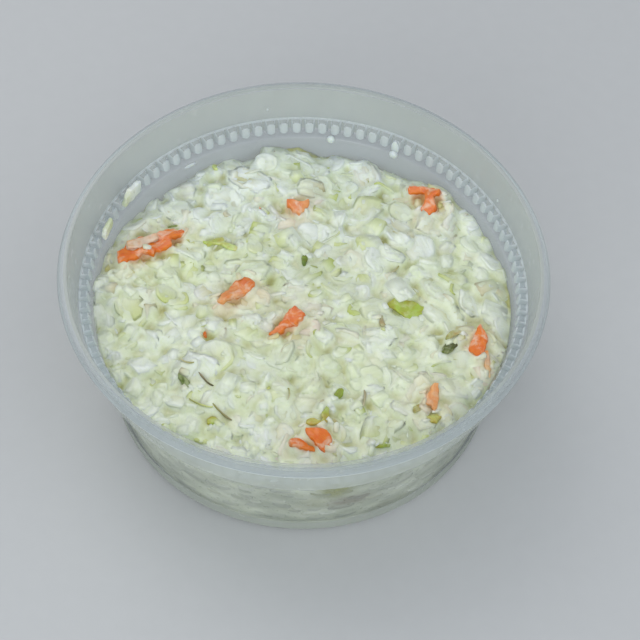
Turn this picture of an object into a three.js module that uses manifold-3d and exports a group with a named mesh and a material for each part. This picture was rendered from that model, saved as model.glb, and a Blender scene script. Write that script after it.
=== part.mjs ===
// Chopped coleslaw in its translucent deli cup: one moulded cup with a ring of stacking ribs inside its
// collar, one heap of slaw, and two scraps of cabbage that stick to the ribs above the heap.
// Millimetres, +Z up, origin under the middle of the base.
import * as THREE from "three";
import { mergeVertices } from "three/addons/utils/BufferGeometryUtils.js";
import Module from "manifold-3d";

const wasm = await Module();
wasm.setup();

// Cup
const cupHeight = 45;
const rimRadius = 58.5; // at the foot of the rim's skirt, which leans out
const rimTop = 57.9; // and at its top
const wall = 0.7;
const cupSides = 60;
const collarTop = 55.9; // radius of the collar's inside under the rim
const collarFoot = 54; // and where the ribs start
const skirtHeight = 2.4;
const skirtWall = 0.65;
const ribTop = cupHeight - 9.5;
const ribFoot = cupHeight - 13.6;
const bodyTop = 51.1; // radius of the body's inside just below the ribs
const bodyFoot = 46.7; // and just above the base
const baseCorner = 2.4;
const footRing = 1.2; // width of the ring that the cup stands on
const baseLift = 0.9;
const ribCount = 99;
const firstRib = -1.4; // degrees
const ribWidth = 2.5;
const ribHeel = 1; // how much a rib's underside slopes up from the ledge to the foot of its face
const ribInner = 51.9; // radius of a rib's face at its top
const ribTaper = 0.5; // and how much further in it stands at its foot
const flat = 0.001; // faces of the cup this close to one plane share their triangles

// Heap
const clearance = 0.3;
const heapSides = 28;
const heapRings = 5;
const edgeLevel = 27.2; // height of the heap where it meets the cup
const domeRise = 2.6;
const heapSlope = 0.045; // the heap is higher at the near side, -Y
const waveHeight = 0.7;
const chipCount = 225;
const shredEvery = 4; // each fourth piece is a shred
const leafEvery = 23; // and each twenty-third a flake of leaf
const smallestChip = 3.4;
const largestChip = 7.2;
const finest = 0.03; // a step smaller than this is smoothed away where the heap's pieces meet

const plasticColour = 0xc9d3d8;
const slawColour = 0xe9efdc;
const scrapColour = 0xe4efd0;

// Carrot and green pieces that lie on top, at their places: length along turn (degrees), width, thickness.
const carrotPieces = [
  { x: -40.6, y: 12.6, turn: 34, size: [9.5, 3.6, 2] },
  { x: -32.6, y: 16.4, turn: 31, size: [9, 2.6, 2.2] },
  { x: -1.8, y: 28.1, turn: -20, size: [5.7, 3, 2.4] },
  { x: 30, y: 34.4, turn: -12, size: [8.6, 2, 2] },
  { x: 31.3, y: 30.6, turn: -99, size: [7.6, 2.4, 2] },
  { x: -16.1, y: -1, turn: 38, size: [10, 3.8, 2.4] },
  { x: -3.3, y: -9.9, turn: 36, size: [10.2, 3.4, 3] },
  { x: 42, y: -12.6, turn: 71, size: [9, 3, 2.6] },
  { x: 30.3, y: -29.5, turn: 54, size: [6.2, 2.8, 2.2] },
  { x: 3.9, y: -42.6, turn: -32, size: [7.4, 4, 2.6] },
  { x: -0.8, y: -43.6, turn: -10, size: [5.4, 2.2, 2] },
];
const greenPieces = [
  { x: 24.6, y: -3.1, turn: 0, size: [9.2, 4.4, 1.2] },
  { x: -0.1, y: 10.5, turn: 74, size: [3.4, 1.8, 1.4] },
  { x: -27.5, y: -26.7, turn: -41, size: [3, 2, 1.4] },
  { x: 8.8, y: -30.1, turn: 35, size: [2.8, 2.2, 1.6] },
  { x: 34.9, y: -15.6, turn: 36, size: [4.6, 2.6, 1.4] },
  { x: -19.8, y: -37.4, turn: 33, size: [4.2, 2.6, 2] },
  { x: 5.2, y: -36.4, turn: 69, size: [3.8, 2.2, 1.8] },
  { x: 28.9, y: -34, turn: -9, size: [6, 2.4, 1.2] },
];
const leafPieces = [
  { x: -14.4, y: 37.6, turn: -33, size: [13, 8, 0.9] },
  { x: -14.2, y: 7, turn: 1, size: [13, 8, 0.9] },
  { x: 33.6, y: -3.9, turn: -51, size: [11, 8.6, 0.9] },
  { x: -28.6, y: 13.4, turn: -28, size: [9.2, 4.8, 0.8] },
];

// Where the heap climbs the cup's wall or has fallen away from it: angle and half width (degrees), height.
const edgeLumps = [
  { around: 179, half: 4, rise: 2.4 },
  { around: 157, half: 7, rise: 1.8 },
  { around: 149, half: 4, rise: 1.6 },
  { around: 133, half: 8, rise: -2.2 },
  { around: 104, half: 5, rise: -1.8 },
  { around: 87, half: 4, rise: -1.8 },
  { around: 59, half: 4, rise: -2 },
  { around: 35, half: 3, rise: 2.4 },
  { around: 12, half: 8, rise: 1.4 },
];

const random = seededRandom(20817);

function seededRandom(seed) {
  let state = seed;
  return () => {
    state = (state + 0x6d2b79f5) | 0;
    let mixed = Math.imul(state ^ (state >>> 15), 1 | state);
    mixed = (mixed + Math.imul(mixed ^ (mixed >>> 7), 61 | mixed)) ^ mixed;
    return ((mixed ^ (mixed >>> 14)) >>> 0) / 4294967296;
  };
}

function between(low, high) {
  return THREE.MathUtils.lerp(low, high, random());
}

// Merges shared corners, and leaves out the empty triangles that a lathe makes on its axis.
function bareGeometry(geometry) {
  const bare = geometry.clone();
  bare.deleteAttribute("normal");
  bare.deleteAttribute("uv");
  const merged = mergeVertices(bare, 1e-4);
  const kept = [];
  for (let i = 0; i < merged.index.count; i += 3) {
    const [a, b, c] = [0, 1, 2].map((k) => merged.index.getX(i + k));
    if (a !== b && b !== c && c !== a) {
      kept.push(a, b, c);
    }
  }
  merged.setIndex(kept);
  return merged;
}

function toSolid(geometry) {
  const bare = bareGeometry(geometry);
  const vertProperties = new Float32Array(bare.attributes.position.array);
  const triVerts = new Uint32Array(bare.index.array);
  return new wasm.Manifold(new wasm.Mesh({ numProp: 3, vertProperties, triVerts }));
}

function toGeometry(solid) {
  const { vertProperties, triVerts } = solid.getMesh();
  const geometry = new THREE.BufferGeometry();
  geometry.setAttribute("position", new THREE.BufferAttribute(vertProperties, 3));
  geometry.setIndex(new THREE.BufferAttribute(triVerts, 1));
  geometry.computeVertexNormals();
  return geometry;
}

// Turns a profile of radius and height round the cup's axis.
function turned(profile, sides) {
  const points = profile.map(([radius, height]) => new THREE.Vector2(radius, height));
  return new THREE.LatheGeometry(points, sides).rotateX(Math.PI / 2);
}

// Radius of the body's inside at a height below the ribs.
function bodyRadius(height) {
  const share = (height - wall - baseLift - baseCorner) / (ribFoot - wall - baseLift - baseCorner);
  return THREE.MathUtils.lerp(bodyFoot, bodyTop, share);
}

// From the middle of the underside out, up the outside, over the rim and down the inside.
function cupProfile() {
  const floor = baseLift + wall;
  const footOuter = bodyFoot + wall - 1.3;
  return [
    [0, baseLift],
    [footOuter - footRing - baseLift, baseLift],
    [footOuter - footRing, 0],
    [footOuter, 0],
    [footOuter + 1.1, 0.7],
    [bodyFoot + wall, baseCorner],
    [bodyTop + wall, ribFoot - 2 * wall],
    [collarFoot + wall / 2, ribFoot - wall],
    [collarFoot + wall, ribFoot - wall / 2],
    [collarTop + wall, cupHeight - 1.3],
    [rimTop - skirtWall, cupHeight - 0.9],
    [rimRadius - skirtWall, cupHeight - skirtHeight],
    [rimRadius - 0.1, cupHeight - skirtHeight],
    [rimRadius, cupHeight - skirtHeight + 0.3],
    [rimTop, cupHeight - 0.4],
    [rimTop - 0.4, cupHeight],
    [collarTop + 0.35, cupHeight],
    [collarTop, cupHeight - 0.35],
    [collarFoot, ribTop],
    [collarFoot - 0.1, ribFoot],
    [bodyTop + 0.3, ribFoot - 0.1],
    [bodyTop - 0.05, ribFoot - 0.6],
    [bodyFoot, floor + baseCorner],
    [bodyFoot - 0.9, floor + 0.7],
    [bodyFoot - 2.6, floor],
    [0, floor],
  ];
}

// One rib is a block with its face drawn in towards its foot, and its underside sloping up to the face.
// It is sunk a little into the collar and into the ledge below it.
function stackingRib(turn) {
  const sunk = 0.35;
  const depth = collarFoot + sunk - ribInner;
  const height = ribTop - ribFoot + sunk;
  const rib = bareGeometry(new THREE.BoxGeometry(depth, ribWidth, height));
  rib.translate(ribInner + depth / 2, 0, ribTop - height / 2);
  const corners = rib.attributes.position;
  for (let i = 0; i < corners.count; i += 1) {
    const isFace = corners.getX(i) < ribInner + sunk;
    const isFoot = corners.getZ(i) < ribFoot;
    if (isFace && isFoot) {
      corners.setX(i, ribInner - ribTaper);
      corners.setZ(i, ribFoot + ribHeel);
    }
  }
  return rib.rotateZ(turn);
}

function cupGeometry() {
  const solids = [toSolid(turned(cupProfile(), cupSides))];
  for (let i = 0; i < ribCount; i += 1) {
    const turn = firstRib + (i / ribCount) * 360;
    solids.push(toSolid(stackingRib(THREE.MathUtils.degToRad(turn))));
  }
  return toGeometry(wasm.Manifold.union(solids).asOriginal().simplify(flat));
}

// Height of the heap's bare top, without the pieces on it.
function heapLevel(x, y) {
  const share = (x * x + y * y) / (bodyTop * bodyTop);
  const waves = Math.sin(x / 8.5 + 0.4) * Math.cos(y / 10 - 0.7) + 0.6 * Math.sin((x + y) / 6.2 + 1.9);
  const angle = THREE.MathUtils.radToDeg(Math.atan2(y, x));
  let level = edgeLevel + domeRise * (1 - share) - heapSlope * y + waveHeight * waves;
  for (const { around, half, rise } of edgeLumps) {
    const off = THREE.MathUtils.euclideanModulo(angle - around + 180, 360) - 180;
    level += rise * Math.exp(-((off / half) ** 2)) * Math.min(share, 1) ** 4;
  }
  return level;
}

// The core is turned as a plain drum that fits the cup, and then its top is pressed into the uneven level.
function heapCore() {
  const floor = baseLift + wall + clearance;
  const foot = bodyFoot - clearance;
  const shoulder = edgeLevel - 3.2;
  const profile = [
    [0, floor],
    [foot - 2.6, floor],
    [foot - 0.4, floor + baseCorner],
    [bodyRadius(shoulder) - clearance - 0.05, shoulder],
  ];
  const sideCount = profile.length;
  const topRadius = bodyRadius(edgeLevel) - clearance - 0.9;
  for (let i = 0; i <= heapRings; i += 1) {
    profile.push([topRadius * (1 - i / heapRings), edgeLevel]);
  }
  const core = turned(profile, heapSides);
  const corners = core.attributes.position;
  for (let i = 0; i < corners.count; i += 1) {
    if (i % profile.length >= sideCount) {
      corners.setZ(i, heapLevel(corners.getX(i), corners.getY(i)));
    }
  }
  return toSolid(core);
}

// A chopped piece: a block with every corner moved a little, so that no two are alike.
function chip([length, width, thickness], unevenness) {
  const block = bareGeometry(new THREE.BoxGeometry(length, width, thickness));
  const corners = block.attributes.position;
  for (let i = 0; i < corners.count; i += 1) {
    corners.setX(i, corners.getX(i) * between(1 - unevenness, 1));
    corners.setY(i, corners.getY(i) * between(1 - unevenness, 1));
    corners.setZ(i, corners.getZ(i) * between(1 - unevenness, 1));
  }
  return block;
}

// A shred: a narrow strip that curls along its length and tapers to its ends.
function shred(length, width, thickness) {
  const strip = bareGeometry(new THREE.BoxGeometry(length, width, thickness, 2, 1, 1));
  const corners = strip.attributes.position;
  const curl = between(0.1, 0.26) * length;
  for (let i = 0; i < corners.count; i += 1) {
    const along = corners.getX(i) / (length / 2);
    corners.setY(i, corners.getY(i) * (1 - 0.45 * along * along) + curl * along * along);
    corners.setZ(i, corners.getZ(i) - 0.5 * curl * along * along);
  }
  return strip;
}

// A flake of leaf: a thin wavy sheet with a rounded outline.
function leaf([length, width, thickness]) {
  const sheet = bareGeometry(new THREE.BoxGeometry(length, width, thickness, 3, 3, 1));
  const corners = sheet.attributes.position;
  const phase = between(0, 6);
  for (let i = 0; i < corners.count; i += 1) {
    const across = corners.getX(i) / (length / 2);
    const up = corners.getY(i) / (width / 2);
    const rounding = 1 - 0.24 * Math.abs(across * up);
    corners.setX(i, corners.getX(i) * rounding);
    corners.setY(i, corners.getY(i) * rounding);
    corners.setZ(i, corners.getZ(i) + 0.5 * Math.sin(2.4 * across + phase) - 0.5 * up * up);
  }
  return sheet;
}

// Lays a piece on the heap: turned about Z, tipped, and sunk by a share of its thickness.
function laid(piece, x, y, turn, tip, lift) {
  const slopeX = (heapLevel(x + 1, y) - heapLevel(x - 1, y)) / 2;
  const slopeY = (heapLevel(x, y + 1) - heapLevel(x, y - 1)) / 2;
  piece.rotateZ(THREE.MathUtils.degToRad(turn));
  piece.rotateX(THREE.MathUtils.degToRad(tip[0]) + Math.atan(slopeY));
  piece.rotateY(THREE.MathUtils.degToRad(tip[1]) - Math.atan(slopeX));
  piece.translate(x, y, heapLevel(x, y) + lift);
  return toSolid(piece);
}

function shownPieces() {
  const solids = [];
  for (const { x, y, turn, size } of [...carrotPieces, ...greenPieces]) {
    solids.push(laid(chip(size, 0.2), x, y, turn, [0, 0], 0.45 + 0.35 * size[2]));
  }
  for (const { x, y, turn, size } of leafPieces) {
    solids.push(laid(leaf(size), x, y, turn, [between(-6, 6), between(-6, 6)], 1.3));
  }
  return solids;
}

function isTaken(x, y, room) {
  const shown = [...carrotPieces, ...greenPieces, ...leafPieces];
  return shown.some((piece) => Math.hypot(piece.x - x, piece.y - y) < room + piece.size[1] / 2);
}

// Chopped cabbage over the whole top, set along a sunflower spiral so that it is spread evenly.
function choppedPieces() {
  const solids = [];
  const goldenTurn = Math.PI * (3 - Math.sqrt(5));
  const reach = bodyRadius(edgeLevel) - clearance;
  for (let i = 0; i < chipCount; i += 1) {
    const size = THREE.MathUtils.lerp(smallestChip, largestChip, random() ** 1.7);
    const isLeaf = i % leafEvery === 5;
    const isShred = !isLeaf && i % shredEvery === 0;
    const half = 0.68 * size;
    const radius = Math.min(reach * Math.sqrt((i + 0.5) / chipCount) + between(-0.8, 0.8), reach - half);
    const turn = i * goldenTurn;
    const [x, y] = [radius * Math.cos(turn), radius * Math.sin(turn)];
    const tip = [between(-26, 26), between(-26, 26)];
    const facing = between(0, 360);
    if (isTaken(x, y, 1.2)) {
      continue;
    }
    if (isLeaf) {
      solids.push(laid(leaf([1.1 * size, 0.8 * size, 0.8]), x, y, facing, tip, 0.9));
    } else if (isShred) {
      solids.push(laid(shred(1.3 * size, 1.9, 1.5), x, y, facing, tip, between(0.3, 0.8)));
    } else {
      const block = [size, size * between(0.6, 0.95), between(2, 3.2)];
      solids.push(laid(chip(block, 0.42), x, y, facing, tip, between(0, 0.6)));
    }
  }
  return solids;
}

// The pieces and the core are one solid. A scrap or a sealed hollow would come apart here as a solid of
// its own, and only the heap itself is kept.
function heapGeometry() {
  const joined = wasm.Manifold.union([heapCore(), ...shownPieces(), ...choppedPieces()]);
  const bodies = joined.decompose();
  bodies.sort((a, b) => b.volume() - a.volume());
  return toGeometry(bodies[0].asOriginal().simplify(finest));
}

// A scrap of cabbage on the faces of the ribs, leaning as they do.
function scrapGeometry(around, height, [length, width, thickness]) {
  const faceHeight = ribTop - ribFoot - ribHeel;
  const lean = Math.atan(ribTaper / faceHeight);
  const scrap = chip([length, width, thickness], 0.3);
  scrap.rotateY(Math.PI / 2 + lean);
  const faceRadius = ribInner - (ribTaper * (ribTop - height)) / faceHeight;
  scrap.translate(faceRadius - clearance - thickness / 2 / Math.cos(lean), 0, height);
  scrap.rotateZ(THREE.MathUtils.degToRad(around));
  return toGeometry(toSolid(scrap));
}

function named(name, geometry, colour, roughness, opacity = 1) {
  const transparent = opacity < 1;
  const material = new THREE.MeshStandardMaterial({ color: colour, roughness, metalness: 0, opacity, transparent });
  const mesh = new THREE.Mesh(geometry, material);
  mesh.name = name;
  return mesh;
}

const coleslawCup = new THREE.Group();
coleslawCup.add(named("cup", cupGeometry(), plasticColour, 0.45, 0.5));
coleslawCup.add(named("coleslaw", heapGeometry(), slawColour, 0.35));
coleslawCup.add(named("scrap_long", scrapGeometry(148.6, ribTop + 1.2, [5.4, 7.2, 1.9]), scrapColour, 0.35));
coleslawCup.add(named("scrap_short", scrapGeometry(162.4, ribTop + 0.8, [4.2, 6.2, 1.7]), scrapColour, 0.35));

export default coleslawCup;
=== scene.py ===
import math
import bpy
import numpy as np
from mathutils import Matrix, Vector
from mathutils.bvhtree import BVHTree


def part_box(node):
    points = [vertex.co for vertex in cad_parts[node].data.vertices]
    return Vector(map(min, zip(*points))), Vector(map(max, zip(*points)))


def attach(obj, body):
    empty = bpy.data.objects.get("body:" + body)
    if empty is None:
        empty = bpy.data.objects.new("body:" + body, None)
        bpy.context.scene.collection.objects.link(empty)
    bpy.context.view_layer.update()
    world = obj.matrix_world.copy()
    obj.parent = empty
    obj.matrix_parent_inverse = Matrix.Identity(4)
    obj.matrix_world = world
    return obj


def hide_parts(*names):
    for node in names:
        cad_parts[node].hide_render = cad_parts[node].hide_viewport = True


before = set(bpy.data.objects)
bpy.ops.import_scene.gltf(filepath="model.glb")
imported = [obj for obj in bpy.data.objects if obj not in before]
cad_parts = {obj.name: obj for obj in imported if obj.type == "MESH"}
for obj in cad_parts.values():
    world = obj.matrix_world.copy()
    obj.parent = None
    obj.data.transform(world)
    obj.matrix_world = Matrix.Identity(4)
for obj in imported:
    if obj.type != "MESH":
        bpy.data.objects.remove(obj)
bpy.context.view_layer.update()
mm = 0.001
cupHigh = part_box("cup")[1]
cupHeight = cupHigh.z
rimRadius = cupHigh.x
dice = np.random.default_rng(4127)


# the same few clicks over and over
def deselectAll():
    if bpy.context.object and bpy.context.object.mode != "OBJECT":
        bpy.ops.object.mode_set(mode="OBJECT")
    bpy.ops.object.select_all(action="DESELECT")


def pick(piece):
    deselectAll()
    piece.select_set(True)
    bpy.context.view_layer.objects.active = piece


def startPiece(name):
    piece = bpy.context.object
    piece.name = name
    piece.data.name = name
    pick(piece)
    return piece


def editAll(piece):
    pick(piece)
    bpy.ops.object.mode_set(mode="EDIT")
    bpy.ops.mesh.select_all(action="SELECT")


def leaveEdit(weld=0):
    # doubles are merged first, then every face is turned outwards
    bpy.ops.mesh.select_all(action="SELECT")
    if weld:
        bpy.ops.mesh.remove_doubles(threshold=weld)
    bpy.ops.mesh.normals_make_consistent(inside=False)
    bpy.ops.object.mode_set(mode="OBJECT")


def settle(piece):
    # the place goes into the mesh, so the object stays at the origin
    pick(piece)
    bpy.ops.object.transform_apply(location=True, rotation=True, scale=True)


def applyModifier(piece, kind, **settings):
    pick(piece)
    modifier = piece.modifiers.new(kind.title(), kind)
    for key, value in settings.items():
        setattr(modifier, key, value)
    bpy.ops.object.modifier_apply(modifier=modifier.name)


def smoothed(piece, degrees=180):
    pick(piece)
    bpy.ops.object.shade_smooth_by_angle(angle=math.radians(degrees))


def points(piece):
    flat = np.empty(len(piece.data.vertices) * 3, np.float32)
    piece.data.vertices.foreach_get("co", flat)
    return flat.reshape(-1, 3).astype(float)


def movePoints(piece, moved):
    piece.data.vertices.foreach_set("co", moved.astype(np.float32).ravel())
    piece.data.update()


def traceProfile(name, outline):
    # one corner of a plane is kept, and the outline is drawn from it by extruding
    bpy.ops.mesh.primitive_plane_add(size=1 * mm)
    piece = startPiece(name)
    bpy.ops.object.mode_set(mode="EDIT")
    bpy.ops.mesh.select_all(action="SELECT")
    bpy.ops.mesh.merge(type="CENTER")
    first = outline[0]
    bpy.ops.transform.translate(value=(first[0], 0, first[1]))
    for before, after in zip(outline, outline[1:]):
        step = (after[0] - before[0], 0, after[1] - before[1])
        bpy.ops.mesh.extrude_region_move(TRANSFORM_OT_translate={"value": step})
    bpy.ops.object.mode_set(mode="OBJECT")
    return piece


def arc(centreX, centreZ, radius, start, end, steps):
    turns = [math.radians(start + (end - start) * i / steps) for i in range(steps + 1)]
    return [(centreX + radius * math.cos(t), centreZ + radius * math.sin(t)) for t in turns]


# the camera stands in front, at "height" degrees above the table, and looks at the cup's axis;
# it is then panned, tilted and rolled a little
cameraLook = dict(
    distance=450.9 * mm, aim=44.3 * mm, height=52.46, roll=1.44, pan=0.514, tilt=-1.699, lens=106.875,
)


def turned(first, second, degrees):
    # two directions turned in their own plane, from the first towards the second
    turn = math.radians(degrees)
    ahead = first * math.cos(turn) + second * math.sin(turn)
    aside = second * math.cos(turn) - first * math.sin(turn)
    return ahead, aside


def addCamera(look=cameraLook):
    up = math.radians(look["height"])
    forward = Vector((0, math.cos(up), -math.sin(up)))
    upward = Vector((0, math.sin(up), math.cos(up)))
    right = Vector((1, 0, 0))
    place = Vector((0, -look["distance"] * math.cos(up), look["aim"] + look["distance"] * math.sin(up)))
    forward, right = turned(forward, right, look["pan"])
    forward, upward = turned(forward, upward, look["tilt"])
    right, upward = turned(right, upward, look["roll"])
    camera = bpy.data.objects.new("camera", bpy.data.cameras.new("camera"))
    camera.data.sensor_fit = "HORIZONTAL"
    camera.data.sensor_width = 36
    camera.data.lens = look["lens"]
    camera.data.clip_start = 0.01
    axes = Matrix((right, upward, -forward)).transposed()
    camera.matrix_world = Matrix.Translation(place) @ axes.to_4x4()
    bpy.context.scene.collection.objects.link(camera)
    bpy.context.scene.camera = camera


addCamera()
print("camera set")

# the cup: its radii are those of its inside, but rimTop is the outer edge of the rim, on top
cupLook = dict(
    wall=0.7 * mm, collarTop=55.9 * mm, collarFoot=54 * mm, rimTop=57.9 * mm, skirtHeight=2.4 * mm,
    skirtWall=0.65 * mm, ribTop=cupHeight - 9.5 * mm, ribFoot=cupHeight - 13.6 * mm, ribHeel=1 * mm,
    ribInner=51.9 * mm, ribTaper=0.5 * mm, bodyTop=51.1 * mm, bodyFoot=46.7 * mm, baseCorner=2.4 * mm,
    footRing=1.2 * mm, baseLift=0.9 * mm, ledgeDrop=0.6 * mm, ribs=99, firstRib=-1.4, stepsARib=10,
)
# in degrees from its middle, a rib is whole to faceHalf and gone at gapHalf; its face is rounded
# and its top arched
ribLook = dict(faceHalf=1.12, gapHalf=1.45, round=0.3 * mm, arch=0.35 * mm, footRound=0.4 * mm)


def cupOutline(look=cupLook):
    wall, lift, corner = look["wall"], look["baseLift"], look["baseCorner"]
    footOuter = look["bodyFoot"] + wall - 1.3 * mm
    outline = [(0, lift), (footOuter * 0.5, lift), (footOuter - look["footRing"] - 1.1 * mm, lift)]
    outline += arc(footOuter - look["footRing"] - 1.1 * mm, lift - 0.5 * mm, 0.5 * mm, 90, 0, 3)[1:]
    outline += [(footOuter - look["footRing"], 0), (footOuter, 0)]
    outline += arc(footOuter - 0.3 * mm, 1.9 * mm, 1.9 * mm, -70, -8, 5)
    outline += [(look["bodyFoot"] + wall, corner + 0.4 * mm)]
    low = (look["bodyFoot"] + wall, corner + 0.4 * mm)
    high = (look["bodyTop"] + wall, look["ribFoot"] - 2 * wall)
    for share in (0.085, 1 / 3, 2 / 3, 1):
        outline.append((low[0] + (high[0] - low[0]) * share, low[1] + (high[1] - low[1]) * share))
    outline += [(look["bodyTop"] + wall + 0.12 * mm, look["ribFoot"] - 1.5 * wall)]
    outline += [(look["bodyTop"] + wall + 0.5 * mm, look["ribFoot"] - 1.1 * wall)]
    collarFoot, collarTop = look["collarFoot"] + wall, look["collarTop"] + wall
    outline += arc(collarFoot - 0.7 * mm, look["ribFoot"] - wall + 0.7 * mm, 0.7 * mm, -90, -5, 4)
    outline += [(collarFoot + 0.45 * mm, look["ribFoot"] + 3 * mm)]
    outline += [(collarTop - 0.4 * mm, cupHeight - 4.2 * mm), (collarTop, cupHeight - 1.5 * mm)]
    skirtInner, foot = rimRadius - look["skirtWall"], cupHeight - look["skirtHeight"]
    rimInner = look["rimTop"] - look["skirtWall"]
    outline += arc(collarTop + 0.3 * mm, cupHeight - 0.9 * mm, 0.3 * mm, 180, 90, 3)
    outline += arc(rimInner - 0.25 * mm, cupHeight - 0.85 * mm, 0.25 * mm, 90, 10, 3)
    outline += [(skirtInner, foot + 0.2 * mm)]
    outline += arc(rimRadius - look["skirtWall"] / 2, foot + 0.25 * mm, 0.25 * mm, 180, 360, 4)
    outline += [(rimRadius, foot + 0.5 * mm), ((rimRadius + look["rimTop"]) / 2, foot + 1.3 * mm)]
    outline += arc(look["rimTop"] - 0.5 * mm, cupHeight - 0.5 * mm, 0.5 * mm, 8, 90, 5)
    outline += [((look["rimTop"] + look["collarTop"]) / 2, cupHeight - 0.06 * mm)]
    outline += arc(look["collarTop"] + 0.35 * mm, cupHeight - 0.35 * mm, 0.35 * mm, 90, 172, 4)
    return outline


def ribRows(look=cupLook):
    # each row is where it runs over a rib, and where it runs in the gap between two ribs;
    # on the collar above and the ledge below, the two are the same
    top, foot, heel = look["ribTop"], look["ribFoot"], look["ribHeel"]
    outer, face, body = look["collarFoot"], look["ribInner"], look["bodyTop"]
    faceFoot = face - look["ribTaper"]
    collar = [(outer + 0.02 * mm, top + 0.25 * mm)]
    ribs = [
        ((outer - 0.12 * mm, top + 0.04 * mm), (outer, top - 0.2 * mm)),
        ((outer - 0.5 * mm, top), (outer, top - 0.5 * mm)),
        ((face + 0.35 * mm, top), (outer - 0.01 * mm, top - 0.9 * mm)),
        ((face + 0.1 * mm, top - 0.1 * mm), (outer - 0.02 * mm, top - 1.3 * mm)),
        ((face - 0.02 * mm, top - 0.35 * mm), (outer - 0.03 * mm, top - 1.7 * mm)),
        ((face - 0.24 * mm, (top + foot + heel) / 2), (outer - 0.05 * mm, foot + 1.6 * mm)),
        ((faceFoot + 0.02 * mm, foot + heel + 0.4 * mm), (outer - 0.07 * mm, foot + 1.2 * mm)),
        ((faceFoot + 0.04 * mm, foot + heel + 0.1 * mm), (outer - 0.09 * mm, foot + 0.9 * mm)),
        ((faceFoot + 0.3 * mm, foot + heel - 0.08 * mm), (outer - 0.12 * mm, foot + 0.6 * mm)),
        ((outer - 1.6 * mm, foot + 0.48 * heel), (outer - 0.2 * mm, foot + 0.3 * mm)),
    ]
    ledge = [
        (outer - 0.5 * mm, foot + 0.03 * mm), (outer - 1.5 * mm, foot),
        (body + 0.5 * mm, foot - 0.03 * mm), (body + 0.25 * mm, foot - 0.1 * mm),
        (body + 0.07 * mm, foot - 0.28 * mm), (body - 0.02 * mm, foot - look["ledgeDrop"]),
    ]
    return [(point, point) for point in collar] + ribs + [(point, point) for point in ledge]


def insideOutline(look=cupLook):
    corner, floor = look["baseCorner"], look["baseLift"] + look["wall"]
    high = (look["bodyTop"] - 0.02 * mm, look["ribFoot"] - look["ledgeDrop"])
    low = (look["bodyFoot"], floor + corner)
    outline = []
    for i in range(1, 4):
        share = i / 3
        outline.append((high[0] + (low[0] - high[0]) * share, high[1] + (low[1] - high[1]) * share))
    outline += arc(look["bodyFoot"] - corner, floor + corner, corner, 0, -90, 5)[1:]
    outline += [(look["bodyFoot"] * 0.5, floor), (0, floor), (0, look["baseLift"])]
    return outline


def makeCup(look=cupLook, ribs=ribLook):
    rows = ribRows()
    piece = traceProfile("cupShell", cupOutline() + [rib for rib, gap in rows] + insideOutline())
    pitch = 2 * math.pi / look["ribs"]
    editAll(piece)
    bpy.ops.mesh.spin(steps=look["stepsARib"], angle=-pitch, center=(0, 0, 0), axis=(0, 0, 1))
    bpy.ops.mesh.remove_doubles(threshold=0.002 * mm)
    bpy.ops.object.mode_set(mode="OBJECT")
    # the first and last columns are the gap, and its rows are drawn back to the collar
    place = points(piece)
    radius = np.hypot(place[:, 0], place[:, 1])
    turn = np.degrees(np.abs(np.arctan2(place[:, 1], place[:, 0])))
    off = np.abs(turn - math.degrees(pitch) / 2)
    gone = np.clip((off - ribs["faceHalf"]) / (ribs["gapHalf"] - ribs["faceHalf"]), 0, 1) ** 2
    corner = np.clip(off / ribs["faceHalf"], 0, 1.2)
    near = 0.004 * mm
    moved = place.copy()
    for rib, gap in rows:
        here = (np.abs(radius - rib[0]) < near) & (np.abs(place[:, 2] - rib[1]) < near)
        outward, upward = 0, 0
        if rib[0] < look["collarFoot"] - 0.05 * mm and rib != gap:
            atTop = rib[1] > look["ribTop"] - 0.5 * mm
            atFoot = rib[1] < look["ribFoot"] + look["ribHeel"] + 0.2 * mm
            outward = ribs["round"] * corner[here] ** 3
            upward = -ribs["arch"] * corner[here] ** 2 * atTop
            upward = upward + ribs["footRound"] * corner[here] ** 3 * atFoot
        ribRadius, ribLevel = rib[0] + outward, rib[1] + upward
        newRadius = ribRadius + (gap[0] - ribRadius) * gone[here]
        moved[here, :2] = place[here, :2] * (newRadius / radius[here])[:, None]
        moved[here, 2] = ribLevel + (gap[1] - ribLevel) * gone[here]
    movePoints(piece, moved)
    # a ring of these wedges makes the cup
    bpy.ops.object.empty_add()
    hub = bpy.context.object
    hub.rotation_euler = (0, 0, pitch)
    applyModifier(
        piece, "ARRAY", fit_type="FIXED_COUNT", count=look["ribs"], use_relative_offset=False,
        use_object_offset=True, offset_object=hub, use_merge_vertices=True, merge_threshold=0.002 * mm)
    bpy.data.objects.remove(hub)
    piece.rotation_euler = (0, 0, math.radians(look["firstRib"]) + pitch / 2)
    settle(piece)
    editAll(piece)
    leaveEdit(0.003 * mm)
    smoothed(piece, 38)
    return piece


# tone and cover of each part of the cup: thick and ribbed parts are milkier to look through; the collar and
# the base are milkier and also painted lighter, as painted light scattered in the plastic, the skirt's face
# is painted darker as painted shade, and the skirt's foot whiter as a painted highlight
cupFinishes = dict(
    milkyPlastic=((0.48, 0.54, 0.56), 0.30), ribPlastic=((0.69, 0.76, 0.79), 0.58),
    collarMilkyLitPlastic=((0.61, 0.66, 0.58), 0.50), baseMilkyLitPlastic=((0.52, 0.57, 0.50), 0.60),
    lipPlastic=((0.47, 0.51, 0.47), 0.46), skirtShadePlastic=((0.41, 0.46, 0.47), 0.56),
    footHighlightPlastic=((0.78, 0.84, 0.84), 0.78),
)


def faceValues(piece, what):
    flat = np.empty(len(piece.data.polygons) * 3, np.float32)
    piece.data.polygons.foreach_get(what, flat)
    return flat.reshape(-1, 3)


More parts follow.
